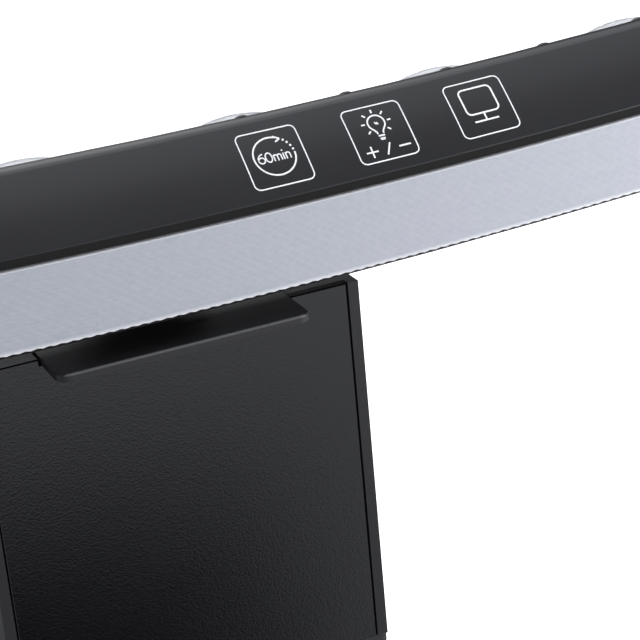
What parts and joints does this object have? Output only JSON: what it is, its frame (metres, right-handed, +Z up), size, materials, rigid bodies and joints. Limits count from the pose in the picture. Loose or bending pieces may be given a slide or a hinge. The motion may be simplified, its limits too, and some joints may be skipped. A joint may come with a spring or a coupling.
{
  "type": "monitor light bar",
  "caption": "Curved monitor light bar on a tilting neck, with a hook ledge, a hinged weight box that clips over a monitor, touch keys, a long diffuser and a rear backlight.",
  "frame": {"origin": "middle of the hook ledge's underside, which rests on the monitor's top edge", "axes": "+Z up, X along the bar, -Y towards the person at the desk"},
  "size_m": [0.5004, 0.0476, 0.1196],
  "materials": {
    "housing_plastic": "satin",
    "box_plastic": "fine-grained matt",
    "hook_metal": "satin powder coat",
    "pin_steel": "ground",
    "weight_steel": "zinc plated",
    "spring_steel": "drawn wire",
    "screw_steel": "black oxide",
    "washer_brass": "plain",
    "silicone": "matt",
    "bumper_rubber": "matt",
    "tape": "matt",
    "diffuser_acrylic": "prismatic, translucent",
    "lens_clear": "frosted",
    "reflector_film": "matt white",
    "aluminium": "mill",
    "board_white": "white solder mask",
    "board_green": "green solder mask",
    "led": "gloss",
    "copper": "tinned copper",
    "component_black": "moulded",
    "bearing_plastic": "acetal"
  },
  "bodies": {
    "hook": {"hook_plate": "hook_metal", "grip_pad": "silicone", "neck": "box_plastic", "neck_screws": "screw_steel", "tilt_pin": "pin_steel", "friction_washers": "washer_brass", "hinge_pin": "pin_steel"},
    "weight_box": {"box_shell": "box_plastic", "front_plate": "box_plastic", "plate_tape": "tape", "counterweight": "weight_steel", "box_screws": "screw_steel", "bottom_bumper": "bumper_rubber", "torsion_springs": "spring_steel"},
    "lamp_bar": {"bar_housing": "housing_plastic", "rear_cover": "housing_plastic", "front_diffuser": "diffuser_acrylic", "front_reflector": "reflector_film", "front_led_board": "board_white", "front_leds": "led", "chassis_rails": "aluminium", "pivot_blocks": "bearing_plastic", "backlight_lens": "lens_clear", "rear_led_board": "board_white", "rear_leds": "led", "touch_board": "board_green", "touch_pads": "copper", "driver_board": "board_green", "board_standoffs": "copper", "driver_parts": "component_black", "usb_socket": "pin_steel", "ridge_plugs": "component_black", "end_cap_right": "housing_plastic", "end_cap_left": "housing_plastic", "end_cap_screws": "screw_steel", "cover_screws": "screw_steel"}
  },
  "joints": [
    {"name": "bar_tilt", "type": "hinge", "parent": "hook", "child": "lamp_bar", "pos_m": [0, 0.00535, 0.01556], "axis": [1, 0, 0], "range_deg": [-10, 50]},
    {"name": "box_hinge", "type": "hinge", "parent": "hook", "child": "weight_box", "pos_m": [0, 0.02475, -0.00266], "axis": [1, 0, 0], "range_deg": [0, 35], "stiffness_Nm_per_rad": 0.1, "springref_deg": -34.38}
  ]
}
